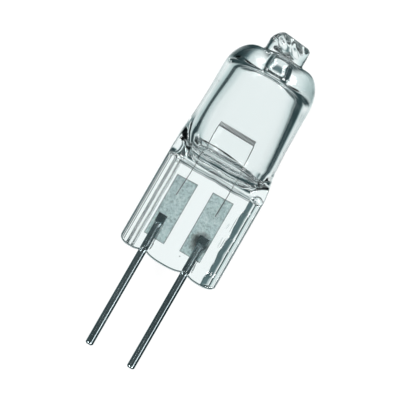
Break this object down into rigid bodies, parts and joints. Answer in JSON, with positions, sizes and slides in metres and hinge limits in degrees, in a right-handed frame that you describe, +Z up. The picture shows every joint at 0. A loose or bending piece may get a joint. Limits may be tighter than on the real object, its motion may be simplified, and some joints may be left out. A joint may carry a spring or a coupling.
{
  "type": "halogen capsule bulb",
  "caption": "Clear quartz capsule bulb with a flat pinch, a coiled filament across the bulb and two solid pins.",
  "frame": {"origin": "middle of the footprint of the lying bulb, on the surface that it lies on", "axes": "+Z up from the table, +Y from the pins to the sealed tip as seen from above, +X across the two pins, left pin to right pin"},
  "size_m": [0.0092, 0.0306, 0.0095],
  "materials": {
    "quartz": "clear, slightly blue-grey, fire polished",
    "tungsten": "dark drawn wire",
    "foil": "wrinkled dull foil",
    "pin": "drawn rod, half bright"
  },
  "bodies": {
    "root": {"envelope": "quartz", "filament": "tungsten", "left_foil": "foil", "right_foil": "foil", "left_pin": "pin", "right_pin": "pin"}
  },
  "joints": []
}
